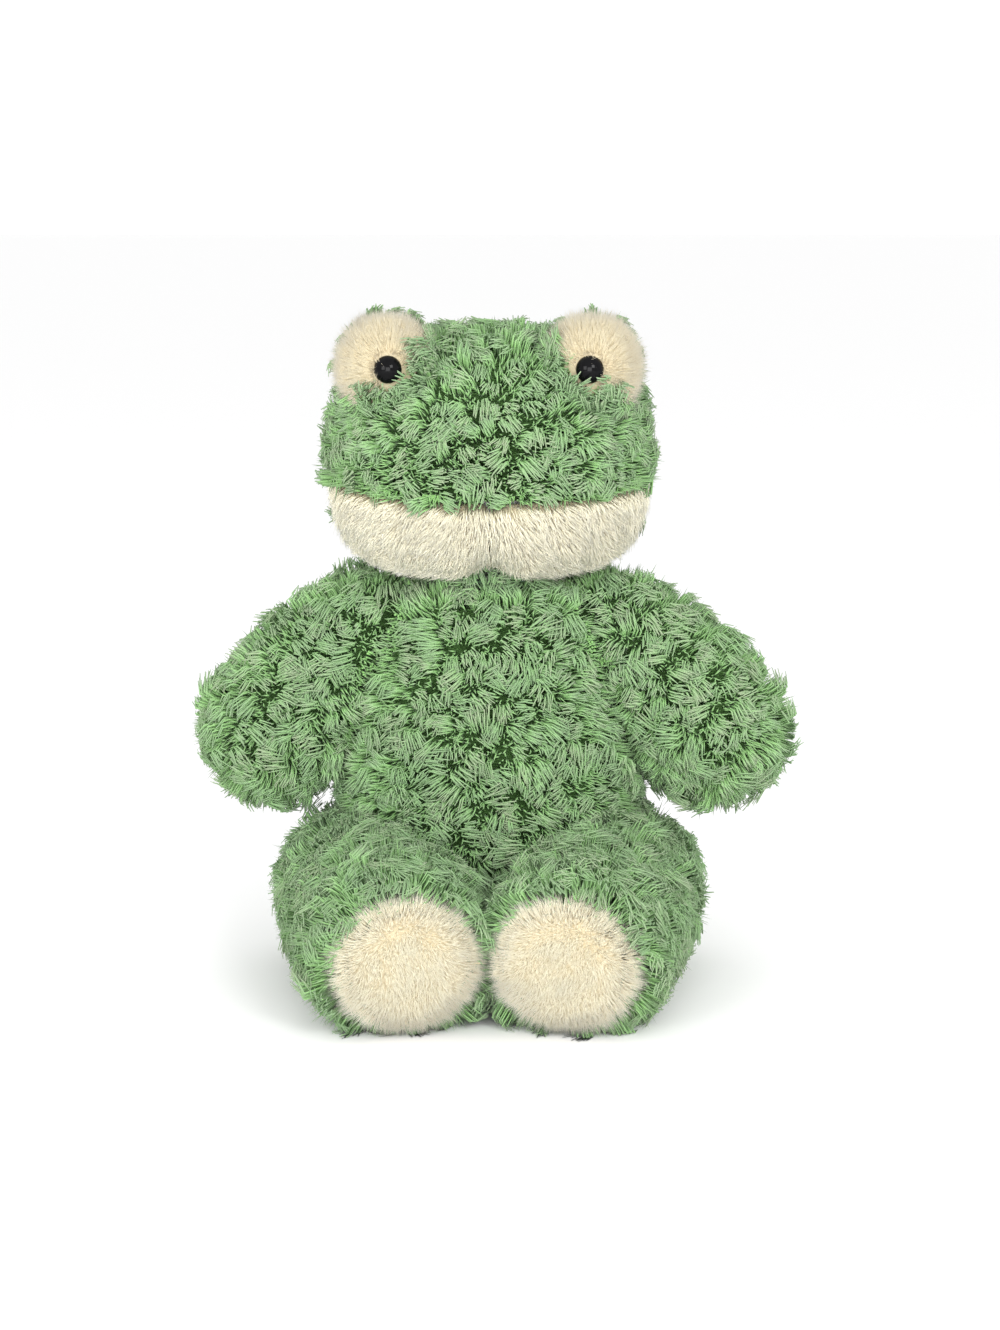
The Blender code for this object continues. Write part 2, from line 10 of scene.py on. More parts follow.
import bmesh
import bpy
import numpy as np
from mathutils import Matrix, Vector
from mathutils.bvhtree import BVHTree


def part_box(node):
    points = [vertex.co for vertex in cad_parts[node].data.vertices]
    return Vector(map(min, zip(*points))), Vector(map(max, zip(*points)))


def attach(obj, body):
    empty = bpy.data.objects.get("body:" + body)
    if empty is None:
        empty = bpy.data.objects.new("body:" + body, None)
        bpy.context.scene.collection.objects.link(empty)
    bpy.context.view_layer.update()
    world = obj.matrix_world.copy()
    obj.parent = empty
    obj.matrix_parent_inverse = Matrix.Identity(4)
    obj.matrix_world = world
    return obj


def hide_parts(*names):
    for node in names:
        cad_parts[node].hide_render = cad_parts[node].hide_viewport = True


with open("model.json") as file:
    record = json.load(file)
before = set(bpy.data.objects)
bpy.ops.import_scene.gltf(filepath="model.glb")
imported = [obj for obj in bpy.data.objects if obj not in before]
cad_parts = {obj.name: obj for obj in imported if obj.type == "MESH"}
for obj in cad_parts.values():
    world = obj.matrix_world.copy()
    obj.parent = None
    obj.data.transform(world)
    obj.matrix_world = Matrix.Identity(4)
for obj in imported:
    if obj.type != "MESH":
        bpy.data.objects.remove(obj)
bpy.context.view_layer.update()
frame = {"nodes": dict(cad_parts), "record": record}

# Filling: loose white polyester fibre that rounds out the body, the head, the limbs and the eye mounds,
# and the firm wad of it in the neck. It is pushed in through the last open seam of each part.
FILLING_WHITE = (0.86, 0.86, 0.83)
FILLING_SHADE = (0.70, 0.70, 0.67)
FILLING_GRAIN = 900
FILLING_VOXEL = 0.004
FILLING_SWELL_CAP = 0.0003
FILLING_THINNED = 0.0022    # so that no white shows between two panels at a seam
WAD_SHARE = 0.84            # of its node, since the cloth that is gathered round it has no node of its own
MERGE_REACH = 0.00001
EASING_ROUNDS = 2
SWELL_PRESSURE = 4
SWELL_STEPS = 20


class Wire:
    """One socket of a material's nodes, so that shading reads as sums."""

    def __init__(self, tree, socket):
        self.tree = tree
        self.socket = socket

    def node(self, kind, settings=None, inputs=None, output=0):
        """Add any node: settings first, then the values or wires of its sockets."""
        made = self.tree.nodes.new(kind)
        for name, value in (settings or {}).items():
            setattr(made, name, value)
        for name, value in (inputs or {}).items():
            if isinstance(value, Wire):
                self.tree.links.new(value.socket, made.inputs[name])
            else:
                made.inputs[name].default_value = value
        return Wire(self.tree, made.outputs[output])

    def sum_of(self, operation, first, second):
        return self.node("ShaderNodeMath", {"operation": operation}, {0: first, 1: second})

    def __add__(self, other):
        return self.sum_of("ADD", self, other)

    def __radd__(self, other):
        return self.sum_of("ADD", other, self)

    def __sub__(self, other):
        return self.sum_of("SUBTRACT", self, other)

    def __rsub__(self, other):
        return self.sum_of("SUBTRACT", other, self)

    def __mul__(self, other):
        return self.sum_of("MULTIPLY", self, other)

    def __rmul__(self, other):
        return self.sum_of("MULTIPLY", other, self)

    def blend(self, dark, light):
        """A colour between two, by this wire's value."""
        return self.node("ShaderNodeMix", {"data_type": "RGBA"},
                         {0: self, 6: as_colour(dark), 7: as_colour(light)}, output=2)


def as_colour(value):
    """A wire stays a wire, and three numbers become a colour."""
    return value if isinstance(value, Wire) else (*value, 1.0)


def new_finish(name, roughness, sheen=0.0, specular=0.5):
    """A material, its shader, and a wire to start shading from."""
    finish = bpy.data.materials.new(name)
    finish.use_nodes = True
    tree = finish.node_tree
    shader = tree.nodes["Principled BSDF"]
    shader.inputs["Roughness"].default_value = roughness
    shader.inputs["Sheen Weight"].default_value = sheen
    shader.inputs["Specular IOR Level"].default_value = specular
    places = tree.nodes.new("ShaderNodeTexCoord")
    return finish, shader, Wire(tree, places.outputs["Object"])


def feed(wire, shader, name):
    """Join a wire to one of the shader's sockets."""
    wire.tree.links.new(wire.socket, shader.inputs[name])


def raise_by(shader, height, strength, distance):
    """Let a height on the surface tilt its shading."""
    feed(height.node("ShaderNodeBump", {}, {"Strength": strength, "Distance": distance, "Height": height}),
         shader, "Normal")


def filling_finish():
    """Matted white fibre."""
    finish, shader, place = new_finish("white_filling", 0.95, sheen=0.2, specular=0.2)
    strands = place.node("ShaderNodeTexNoise", {}, {"Vector": place, "Scale": FILLING_GRAIN, "Detail": 3.0})
    lumps = place.node("ShaderNodeTexNoise", {}, {"Vector": place, "Scale": 120, "Detail": 2.0})
    feed((strands * 0.5 + lumps * 0.5).blend(FILLING_SHADE, FILLING_WHITE), shader, "Base Color")
    raise_by(shader, strands + lumps, 0.6, 0.001)
    return finish


def pick(piece):
    """Select one object alone and make it active."""
    bpy.ops.object.select_all(action="DESELECT")
    piece.select_set(True)
    bpy.context.view_layer.objects.active = piece


def copy_of(node, name):
    """A new object with a copy of a frame node's mesh, its loose triangles merged."""
    piece = bpy.data.objects.new(name, frame["nodes"][node].data.copy())
    bpy.context.scene.collection.objects.link(piece)
    piece.data.materials.clear()
    pick(piece)
    bpy.ops.object.mode_set(mode="EDIT")
    bpy.ops.mesh.select_all(action="SELECT")
    bpy.ops.mesh.remove_doubles(threshold=MERGE_REACH)
    bpy.ops.object.mode_set(mode="OBJECT")
    return piece


def middle_of(node):
    """The middle of a node's box."""
    low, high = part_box(node)
    return np.array((Vector(low) + Vector(high)) / 2)


def about(middle, share):
    """The resizing of a mesh about a point."""
    return Matrix.Translation(middle) @ Matrix.Scale(share, 4) @ Matrix.Translation(-middle)


def rebuild(piece, voxel):
    """Make an even skin of small squares, and smooth its steps away."""
    pick(piece)
    skin = piece.modifiers.new("skin", "REMESH")
    skin.mode = "VOXEL"
    skin.voxel_size = voxel
    bpy.ops.object.modifier_apply(modifier="skin")
    ease = piece.modifiers.new("ease", "CORRECTIVE_SMOOTH")
    ease.use_only_smooth = True
    ease.iterations = EASING_ROUNDS
    bpy.ops.object.modifier_apply(modifier="ease")


def places_of(mesh):
    """The places of a mesh's points, as rows."""
    flat = np.empty(len(mesh.vertices) * 3, dtype=np.float32)
    mesh.vertices.foreach_get("co", flat)
    return flat.reshape(-1, 3)


def thin(piece, depth):
    """Draw a piece's skin in along its normals."""
    ways = np.empty(len(piece.data.vertices) * 3, dtype=np.float32)
    piece.data.vertex_normals.foreach_get("vector", ways)
    piece.data.vertices.foreach_set("co", places_of(piece.data).ravel() - ways * depth)
    piece.data.update()


def swell(pieces, cap):
    """Puff sewn pieces up by air pressure in a cloth simulation; no point moves by more than the cap."""
    for piece in pieces:
        cloth = piece.modifiers.new("swell", "CLOTH")
        cloth.settings.use_pressure = True
        cloth.settings.uniform_pressure_force = SWELL_PRESSURE
        cloth.settings.effector_weights.gravity = 0
    for step in range(1, SWELL_STEPS + 1):
        bpy.context.scene.frame_set(step)
    graph = bpy.context.evaluated_depsgraph_get()
    for piece in pieces:
        rest = places_of(piece.data)
        moved = places_of(piece.evaluated_get(graph).data) - rest
        moved[~np.isfinite(moved)] = 0
        reach = np.linalg.norm(moved, axis=1, keepdims=True)
        moved *= np.minimum(1.0, cap / np.maximum(reach, 1e-9))
        piece.modifiers.clear()
        piece.data.vertices.foreach_set("co", (rest + moved).astype(np.float32).ravel())
        piece.data.update()
    bpy.context.scene.frame_set(1)


def dress(piece, finish, body, nodes):
    """Give a piece its finish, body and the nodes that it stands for."""
    piece.data.materials.clear()
    piece.data.materials.append(finish)
    piece.data.shade_smooth()
    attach(piece, body)
    if nodes:
        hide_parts(*nodes)
    return piece


white_filling = filling_finish()
fillings = []
for node, body in (("torso_stuffing", "torso"), ("head_stuffing", "head"),
                   ("left_eye_mound_stuffing", "head"), ("right_eye_mound_stuffing", "head"),
                   ("left_arm_stuffing", "left_arm"), ("right_arm_stuffing", "right_arm"),
                   ("left_leg_stuffing", "left_leg"), ("right_leg_stuffing", "right_leg"),
                   ("neck_wad", "neck")):
    filling = copy_of(node, node + "_fibre")
    if node == "neck_wad":
        filling.data.transform(about(middle_of(node), WAD_SHARE))
    rebuild(filling, FILLING_VOXEL)
    thin(filling, FILLING_THINNED)
    fillings.append(dress(filling, white_filling, body, [node]))
swell(fillings, FILLING_SWELL_CAP)

# Pellet pouch: a small bag of plain woven cotton in the seat, filled with plastic pellets that press
# their round shapes through the cloth. It lies loose in the filling and makes the frog sit.
POUCH_LIGHT = (0.80, 0.79, 0.74)
POUCH_DARK = (0.62, 0.61, 0.56)
PELLET_SPACING = 260
POUCH_THREADS = 1400
POUCH_VOXEL = 0.002
POUCH_SWELL_CAP = 0.0003


def pouch_finish():
    """Plain weave over round pellets."""
    finish, shader, place = new_finish("pouch_cotton", 0.85, sheen=0.1, specular=0.2)
    pellets = place.node("ShaderNodeTexVoronoi", {}, {"Vector": place, "Scale": PELLET_SPACING})
    weave = {"Vector": place, "Scale": POUCH_THREADS}
    warp = place.node("ShaderNodeTexWave", {"bands_direction": "X"}, weave)
    weft = place.node("ShaderNodeTexWave", {"bands_direction": "Z"}, weave)
    feed(((1 - pellets) * 0.7 + warp * weft * 0.3).blend(POUCH_DARK, POUCH_LIGHT), shader, "Base Color")
    raise_by(shader, (1 - pellets) + warp * 0.1 + weft * 0.1, 0.8, 0.001)
    return finish


pouch = copy_of("pellet_pouch", "pellet_pouch_bag")
rebuild(pouch, POUCH_VOXEL)
dress(pouch, pouch_finish(), "torso", ["pellet_pouch"])
swell([pouch], POUCH_SWELL_CAP)

# Neck thread: strong twisted green thread, drawn round the neck by hand and knotted inside.
# It is the frame's own solid with the look of a two-ply twist.
THREAD_LIGHT = (0.22, 0.40, 0.22)
THREAD_DARK = (0.07, 0.15, 0.08)


def thread_finish():
    """Twisted thread."""
    finish, shader, place = new_finish("green_thread", 0.7, sheen=0.2, specular=0.3)
    twist = place.node("ShaderNodeTexWave", {"bands_direction": "DIAGONAL"},
                       {"Vector": place, "Scale": 500, "Distortion": 1.0})
    feed(twist.blend(THREAD_DARK, THREAD_LIGHT), shader, "Base Color")
    raise_by(shader, twist, 0.6, 0.0003)
    return finish


frame["nodes"]["neck_seam_thread"].material_slots[0].material = thread_finish()

# Green cloth: the knitted backing of the curly plush, cut to panels and sewn inside out. It shows only as
# the ground between the curls, and its colours are painted darker than the pile's green: painted shade for
# the shade down between the curls. Its ends are gathered over the filling where two parts are sewn together.
# both knit colours carry painted shade: darker than the cloth's own green, for the shade between the curls
BACKING_KNIT_DARK_IN_PAINTED_SHADE = (0.066, 0.146, 0.038)
BACKING_KNIT_LIGHT_IN_PAINTED_SHADE = (0.125, 0.250, 0.078)
BACKING_VOXEL = 0.003
BACKING_SINK = 0.36         # of the wall's thickness
BACKING_SWELL_CAP = 0.0006
WALL_AND_MORE = 0.012       # further than the cloth's wall is thick
SEAM_REACH = 0.0022         # a point is in a seam when a piece of its own body is this near over it
JUST_OFF = 0.0001
GATHERED_DEPTH = 0.0004
GATHERED_THICKNESS = 0.0004
STUFFED_BODIES = ("torso", "head", "left_arm", "right_arm", "left_leg", "right_leg")
GREEN_PANELS = {
    "belly_panel": "torso", "back_panel": "torso", "crown_panel": "head", "head_back_panel": "head",
    "left_eye_mound_back": "head", "right_eye_mound_back": "head",
    "left_arm_front_panel": "left_arm", "left_arm_back_panel": "left_arm",
    "right_arm_front_panel": "right_arm", "right_arm_back_panel": "right_arm",
    "left_leg_top_panel": "left_leg", "left_leg_under_panel": "left_leg",
    "right_leg_top_panel": "right_leg", "right_leg_under_panel": "right_leg"}


def backing_finish():
    """Knitted ground with rows of small loops."""
    finish, shader, place = new_finish("green_backing", 0.95, specular=0.1)
    rows = place.node("ShaderNodeTexWave", {"bands_direction": "Z"},
                      {"Vector": place, "Scale": 500, "Distortion": 9.0, "Detail": 3.0})
    patches = place.node("ShaderNodeTexNoise", {}, {"Vector": place, "Scale": 420, "Detail": 4.0})
    # the knit rows and patches vary the colour; its darkness overall is painted shade
    feed((rows * 0.5 + patches * 0.5).blend(BACKING_KNIT_DARK_IN_PAINTED_SHADE, BACKING_KNIT_LIGHT_IN_PAINTED_SHADE), shader, "Base Color")
    raise_by(shader, rows + patches, 1.0, 0.002)
    return finish


def corners_of(nodes):
    """Corner places and outward normals of the triangles of some frame nodes."""
    found = []
    for node in nodes:
        mesh = frame["nodes"][node].data
        mesh.calc_loop_triangles()
        corner = np.empty(len(mesh.loop_triangles) * 3, dtype=np.int32)
        mesh.loop_triangles.foreach_get("vertices", corner)
        found.append(places_of(mesh)[corner].reshape(-1, 3, 3))
    corners = np.concatenate(found).astype(np.float64)
    normals = np.cross(corners[:, 1] - corners[:, 0], corners[:, 2] - corners[:, 0])
    areas = np.linalg.norm(normals, axis=1)
    real = areas > 1e-12
    return corners[real], normals[real] / areas[real, None], areas[real] / 2


def tree_of(nodes):
    """A search tree of some frame nodes."""
    corners, _, _ = corners_of(nodes)
    return BVHTree.FromPolygons([Vector(point) for point in corners.reshape(-1, 3)],
                                [(3 * n, 3 * n + 1, 3 * n + 2) for n in range(len(corners))])


def distance_to(nodes, spots):
    """How far each point is from the faces of some frame nodes."""
    tree = tree_of(nodes)
    return np.array([tree.find_nearest(Vector(spot))[3] for spot in spots])


def filling_of(node, body):
    """The filling that a panel wraps."""
    if "mound" in node:
        return node.replace("_front", "_stuffing").replace("_back", "_stuffing")
    return body + "_stuffing"


def draw_in(piece, filling, share):
    """Press a cloth's wall towards its filling by a share of its thickness, which leaves its seams closed."""
    tree = tree_of([filling])
    places = places_of(piece.data).astype(np.float64)
    nearest = np.array([tree.find_nearest(Vector(place))[0] for place in places])
    piece.data.vertices.foreach_set("co", (places + (nearest - places) * share).astype(np.float32).ravel())
    piece.data.update()


def nodes_on(body):
    """The frame's nodes that ride on a body."""
    return frame["record"]["behaviour"]["bodies"][body]


def in_the_air(spots, outward, body, reach=SEAM_REACH):
    """Whether each point of a body's pieces faces the air, with none of the body's own pieces over it."""
    own = tree_of(nodes_on(body))
    return np.array([own.ray_cast(Vector(spot + way * JUST_OFF), Vector(way), reach)[0] is None
                     for spot, way in zip(spots, outward)])


def gathered_end(filling, body):
    """A thin sheet over the faces of a filling that no panel covers."""
    piece = copy_of(filling, filling.replace("stuffing", "gathered_cloth"))
    shape = bmesh.new()
    shape.from_mesh(piece.data)
    shape.normal_update()
    faces = list(shape.faces)
    middles = [np.array(face.calc_center_median()) for face in faces]
    open_air = in_the_air(middles, [np.array(face.normal) for face in faces], body, WALL_AND_MORE)
    bmesh.ops.delete(shape, geom=[face for face, bare in zip(faces, open_air) if not bare], context="FACES")
    shape.to_mesh(piece.data)
    shape.free()
    thin(piece, GATHERED_DEPTH)
    pick(piece)
    sheet = piece.modifiers.new("sheet", "SOLIDIFY")
    sheet.thickness = GATHERED_THICKNESS
    bpy.ops.object.modifier_apply(modifier="sheet")
    return dress(piece, green_backing, body, [])


green_backing = backing_finish()
for body in STUFFED_BODIES:
    gathered_end(body + "_stuffing", body)
backings = []
for node, body in GREEN_PANELS.items():
    backing = copy_of(node, node + "_cloth")
    rebuild(backing, BACKING_VOXEL)
    draw_in(backing, filling_of(node, body), BACKING_SINK)
    backings.append(dress(backing, green_backing, body, [node]))
swell(backings, BACKING_SWELL_CAP)

# Green curls: the long pile of the plush, crimped into locks about a centimetre wide. Each lock is a
# bundle of flat-tipped fibres that rise together, spread and bend over, pale at the tips. At the root the
# fibres are painted a brighter green than their own: painted light, to lift the shade down among the locks.
CURL_SPACING = 0.0052
EYE_CURL_SPACING = 0.0032
CURL_TRIES = 9e-6           # over the spacing squared: tries in a square millimetre, nine for each lock
CURL_RISE = 0.0088
CURL_LEAN = 0.0050
CURL_FAN = 0.0016
CURL_FOOT = 0.0024
CURL_ROOT_DEPTH = 0.0034
CURL_WAVE = 0.022           # from one place where the locks lean a way to the next
CURL_HOOK = 0.0012
CURL_FIBRES = 27
FIBRE_RADIUS = 0.00036
TIP_STRAY = 0.00035
BEND_STRAY = 0.00025
MOUND_LOCKS = 0.65          # the sizes of locks, where most have 1
HEAD_LOCKS = 0.88
LEG_LOCKS = 1.12
UNDERWOOL_IN_MM2 = 0.5
UNDERWOOL_RISE = 0.0078
UNDERWOOL_LEAN = 0.0014
UNDERWOOL_RADIUS = 0.00075
UNDERWOOL_TOP = 0.75        # its height on the map, where a lock's tip has 1
RING_WIDTHS = (0.8, 1.0, 0.55)
TONE_WIDTH = 0.06
WOOL_SHARE = 0.25           # of the locks' distance to other panels, for the underwool
MOUTH_EDGE = 0.010          # the locks of this strip above the mouth are brushed up
FLOW_DOWN = (0.0, 0.0, -0.45)
FLOW_ON_LEG = (0.0, -0.8, -0.2)
FLOW_UP_AT_MOUTH = 0.35
EYE_PULL = 1.6              # of the locks round an eye towards it
EYE_PULL_REACH = 0.021
EYE_PULL_FADE = 0.006
NECK_PULL = 0.6             # of the locks at the body's top towards the neck
NECK_PULL_FROM = 0.135
NECK_PULL_FADE = 0.012
CLEAR_OF_EYE = 0.0078
EYE_LINE_SLANT = (0.60, 0.80)
GREEN_OVER_EYE_LINE = 0.0005
CREAM_UNDER_EYE_LINE = 0.0025
CROPPED_WOOL = 0.40         # as a share of its height, where another part lies on the cloth
ROOT_CLEAR_OF_FILLING = 0.0075    # a limb's locks start outside the torso's wall
MOST_FIBRES = 14200         # in one piece
FLOOR_CLEAR = 0.0003
NECK_SOCKET = 0.0212
TORSO_SOCKETS = [("neck_turn", NECK_SOCKET), ("left_shoulder", 0.0202), ("right_shoulder", 0.0202),
                 ("left_hip", 0.0302), ("right_hip", 0.0302)]
EYE_SIDES = {"left_eye_mound_front": "left", "right_eye_mound_front": "right"}
# the root colour is a full green painted brighter than the fibre's own: painted light in the shade among the
# locks and in the underwool between them
ROOT_GREEN_WITH_PAINTED_LIGHT = (0.260, 0.480, 0.165)
LEAF_SHADE = (0.235, 0.395, 0.175)
TIP_COOL = (0.215, 0.322, 0.190)
TIP_WARM = (0.312, 0.380, 0.240)
LOCKS_KEEP_CLEAR = {        # other panels, and how near to them a lock of this body may grow
    "torso": (("left_arm_front_panel", "right_arm_front_panel", "left_leg_top_panel",
               "right_leg_top_panel"), 0.0065),
    "head": (("left_jaw_panel", "right_jaw_panel"), 0.0022),
    "left_leg": (("left_sole_panel",), 0.0030),
    "right_leg": (("right_sole_panel",), 0.0030)}


def curl_finish():
    """Fibres of a full green at the root, painted brighter there as painted light among the locks, and a
    faded one at the tip; the map holds tone and height.
    """
    finish, shader, place = new_finish("green_curls", 0.8, sheen=0.1, specular=0.1)
    uv = place.node("ShaderNodeUVMap", {"uv_map": "OFBake"})
    tone = place.node("ShaderNodeSeparateXYZ", {}, {0: uv}, output=0)
    height = place.node("ShaderNodeSeparateXYZ", {}, {0: uv}, output=1)
    # the colour at the root is painted light, brighter than the fibre's own green
    lower = tone.node("ShaderNodeMapRange", {}, {0: height, 1: 0.1, 2: 0.6}).blend(ROOT_GREEN_WITH_PAINTED_LIGHT, LEAF_SHADE)
    upper = tone.node("ShaderNodeMapRange", {}, {0: height, 1: 0.4, 2: 1.0})
    feed((upper * (tone * 0.5 + 0.6)).blend(lower, tone.blend(TIP_COOL, TIP_WARM)), shader, "Base Color")
    return finish


def strew(node, count_in_mm2, chance):
    """Random points on a panel's faces, with the way out at each."""
    corners, normals, areas = corners_of([node])
    count = int(areas.sum() * 1e6 * count_in_mm2)
    which = chance.choice(len(areas), size=count, p=areas / areas.sum())
    first, second = chance.random((2, count, 1))
    fold = first + second > 1
    first, second = np.where(fold, 1 - first, first), np.where(fold, 1 - second, second)
    spots = (corners[which, 0] * (1 - first - second) + corners[which, 1] * first
             + corners[which, 2] * second)
    return spots, normals[which]


def thin_out(spots, spacing):
    """Which points to keep so that no two are nearer than the spacing."""
    cells = {}
    kept = []
    for index, spot in enumerate(spots):
        home = tuple(int(math.floor(value / spacing)) for value in spot)
        near = (cells.get((home[0] + a, home[1] + b, home[2] + c), ()) for a in (-1, 0, 1)
                for b in (-1, 0, 1) for c in (-1, 0, 1))
        if all(np.dot(spot - spots[other], spot - spots[other]) >= spacing ** 2
               for group in near for other in group):
            cells.setdefault(home, []).append(index)
            kept.append(index)
    return kept


def unit(rows):
    """Rows made one long."""
    return rows / np.maximum(np.linalg.norm(rows, axis=-1, keepdims=True), 1e-9)


def strand_piece(name, stations, radius, tone, blunt=False, top=1.0):
    """Closed three-sided fibres through some stations, cut off at the end or running out to a point.

    The map holds a fibre's tone across and its height up, from 0 at the root to top at the end.
    """
    along = unit(stations[-1] - stations[0])
    helper = np.where(np.abs(along[:, 2:]) < 0.9, np.array([[0.0, 0.0, 1.0]]), np.array([[1.0, 0.0, 0.0]]))
    side = unit(np.cross(along, helper))
    up = np.cross(along, side)
    angles = np.array([0, 2, 4]) * math.pi / 3
    ring = (side[:, None] * np.cos(angles)[None, :, None] + up[:, None] * np.sin(angles)[None, :, None])
    ring = ring * np.reshape(radius, (-1, 1, 1))
    last = len(stations) - 1
    rings = last + 1 if blunt else last
    points = [stations[k][:, None] + ring * RING_WIDTHS[k] for k in range(rings)]
    heights = [top * k / last for k in range(rings) for _ in range(3)]
    pattern, across = [(0, 2, 1)], [(0, 0.5, 1)]
    for k in range(rings - 1):
        for turn in range(3):
            first, second = 3 * k + turn, 3 * k + (turn + 1) % 3
            pattern += [(first, second, second + 3), (first, second + 3, first + 3)]
            across += [(0, 1, 1), (0, 1, 0)]
    end = 3 * (rings - 1)
    if blunt:
        pattern.append((end, end + 1, end + 2))
        across.append((0, 0.5, 1))
    else:
        points.append(stations[-1][:, None])
        heights.append(top)
        pattern += [(end + turn, end + (turn + 1) % 3, 3 * rings) for turn in range(3)]
        across += [(0, 1, 0.5)] * 3
    pattern, across = np.array(pattern), np.array(across)
    height = np.array(heights)[pattern]
    height[0, 1] += 0.02
    height[-1, 1] -= 0.02
    points = np.concatenate(points, axis=1)
    points[:, :, 2] = np.maximum(points[:, :, 2], FLOOR_CLEAR)
    faces = (np.arange(len(points))[:, None, None] * points.shape[1] + pattern[None]).reshape(-1, 3)
    mesh = bpy.data.meshes.new(name)
    mesh.from_pydata(points.reshape(-1, 3), [], faces, shade_flat=False)
    map_u = tone[:, None, None] + (across[None] - 0.5) * TONE_WIDTH
    map_v = np.broadcast_to(height[None], map_u.shape)
    layer = mesh.uv_layers.new(name="OFBake")
    layer.uv.foreach_set("vector", np.stack([map_u, map_v], axis=-1).astype(np.float32).ravel())
    piece = bpy.data.objects.new(name, mesh)
    bpy.context.scene.collection.objects.link(piece)
    return piece


def above_eye_line(spots, side):
    """Distance above the slanting line through an eye, under which the crown's curls hide the cream."""
    away = spots - middle_of(side + "_eye")
    outwards = away[:, 0] if side == "left" else -away[:, 0]
    return EYE_LINE_SLANT[0] * outwards + EYE_LINE_SLANT[1] * away[:, 2]


def joint_place(name):
    """Where a joint turns."""
    for joint in frame["record"]["behaviour"]["joints"]:
        if joint["name"] == name:
            return np.array(joint["pos_m"])
    return None


def green_spots(node, body, spots, outward):
    """The points of a panel that face the air and are green."""
    keep = in_the_air(spots, outward, body)
    if node in EYE_SIDES:
        keep &= above_eye_line(spots, EYE_SIDES[node]) < GREEN_OVER_EYE_LINE
        keep &= np.linalg.norm(spots - middle_of(EYE_SIDES[node] + "_eye"), axis=1) > CLEAR_OF_EYE
    return spots[keep], outward[keep]


def has_room(node, body, spots, share=1.0):
    """Whether full pile has room at each point, clear of joints and of other panels."""
    keep = np.ones(len(spots), dtype=bool)
    if body in ("torso", "head"):
        for name, radius in TORSO_SOCKETS:
            keep &= np.linalg.norm(spots - joint_place(name), axis=1) > radius
    else:
        keep &= distance_to(["torso_stuffing"], spots) > ROOT_CLEAR_OF_FILLING
    if body in LOCKS_KEEP_CLEAR:
        others, clear = LOCKS_KEEP_CLEAR[body]
        keep &= distance_to(others, spots) > clear * (2.0 if "leg_under" in node else share)
    return keep


def waves(spots, chance, length):
    """A smooth random direction field."""
    field = np.zeros_like(spots)
    for _ in range(6):
        bend = unit(chance.normal(size=3)) * math.tau / length
        field += chance.normal(size=3) * np.sin(spots @ bend + chance.random() * math.tau)[:, None]
    return unit(field)


def curl_flow(spots, body):
    """Which way the locks are brushed: down, but towards the eyes and the neck, and forwards on the legs."""
    flow = np.tile(np.array(FLOW_ON_LEG if "leg" in body else FLOW_DOWN), (len(spots), 1))
    if body == "head":
        flow[spots[:, 2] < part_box("left_jaw_panel")[1][2] + MOUTH_EDGE, 2] = FLOW_UP_AT_MOUTH
        for side in ("left", "right"):
            towards = middle_of(side + "_eye") - spots
            near = np.linalg.norm(towards, axis=1, keepdims=True)
            pull = np.clip((EYE_PULL_REACH - near) / EYE_PULL_FADE, 0, 1)
            flow = flow * (1 - pull) + unit(towards) * pull * EYE_PULL
    if body in ("torso", "neck"):
        near = np.clip((spots[:, 2:] - NECK_PULL_FROM) / NECK_PULL_FADE, 0, 1)
        flow = flow * (1 - near) - unit(spots * np.array([1, 1, 0])) * near * NECK_PULL
    return flow


def grow_curls(name, spots, outward, body, seed, size=1.0):
    """Grow curled locks at some spots, in as many pieces as it takes."""
    chance = np.random.default_rng(seed)
    count = len(spots)
    lean = waves(spots, chance, CURL_WAVE) + chance.normal(size=(count, 3)) * 0.60 + curl_flow(spots, body)
    lean = unit(lean - outward * np.sum(lean * outward, axis=1, keepdims=True))
    across = np.cross(outward, lean)
    scale = size * chance.uniform(0.82, 1.18, (count, 1))
    rise = CURL_RISE * scale * chance.uniform(0.85, 1.15, (count, 1))
    reach = CURL_LEAN * scale * chance.uniform(0.55, 1.35, (count, 1))
    lock_tone = chance.uniform(0.12, 0.88, (count, 1))

    shape = (count, CURL_FIBRES)
    angle = chance.random(shape) * math.tau
    out = np.sqrt(chance.random(shape))
    wide, long = (out * np.cos(angle))[..., None], (out * np.sin(angle))[..., None]
    across, lean, outward = across[:, None], lean[:, None], outward[:, None]
    scale, rise, reach = scale[:, None], rise[:, None], reach[:, None]
    roots = (spots[:, None] - outward * CURL_ROOT_DEPTH
             + (across * wide * 1.4 + lean * long) * CURL_FOOT * scale)
    length = chance.uniform(0.82, 1.08, (*shape, 1))
    hook = chance.normal(size=(count, 1, 1)) * CURL_HOOK
    heads = (roots + outward * rise * (0.96 - 0.22 * out[..., None] ** 2) * length
             + lean * (reach + long * CURL_FAN * 0.4 * scale) * length
             + across * (wide * CURL_FAN * scale * length + hook)
             + chance.normal(size=(*shape, 3)) * TIP_STRAY)
    bends = (roots + outward * rise * 0.80 * length
             + lean * reach * 0.30 + across * wide * CURL_FAN * 0.30 * scale
             + chance.normal(size=(*shape, 3)) * BEND_STRAY)
    tone = np.clip(lock_tone + chance.normal(size=shape) * 0.13, 0.04, 0.96)
    radius = FIBRE_RADIUS * chance.uniform(0.8, 1.2, shape)

    share = max(1, math.ceil(count * CURL_FIBRES / MOST_FIBRES))
    order = np.argsort(spots[:, 0], kind="stable")
    for index, group in enumerate(np.array_split(order, share)):
        own = name if share == 1 else f"{name}_{index + 1}"
        stations = [part[group].reshape(-1, 3) for part in (roots, bends, heads)]
        piece = strand_piece(own, stations, radius[group].ravel(), tone[group].ravel(), blunt=True)
        dress(piece, green_curls, body, [])


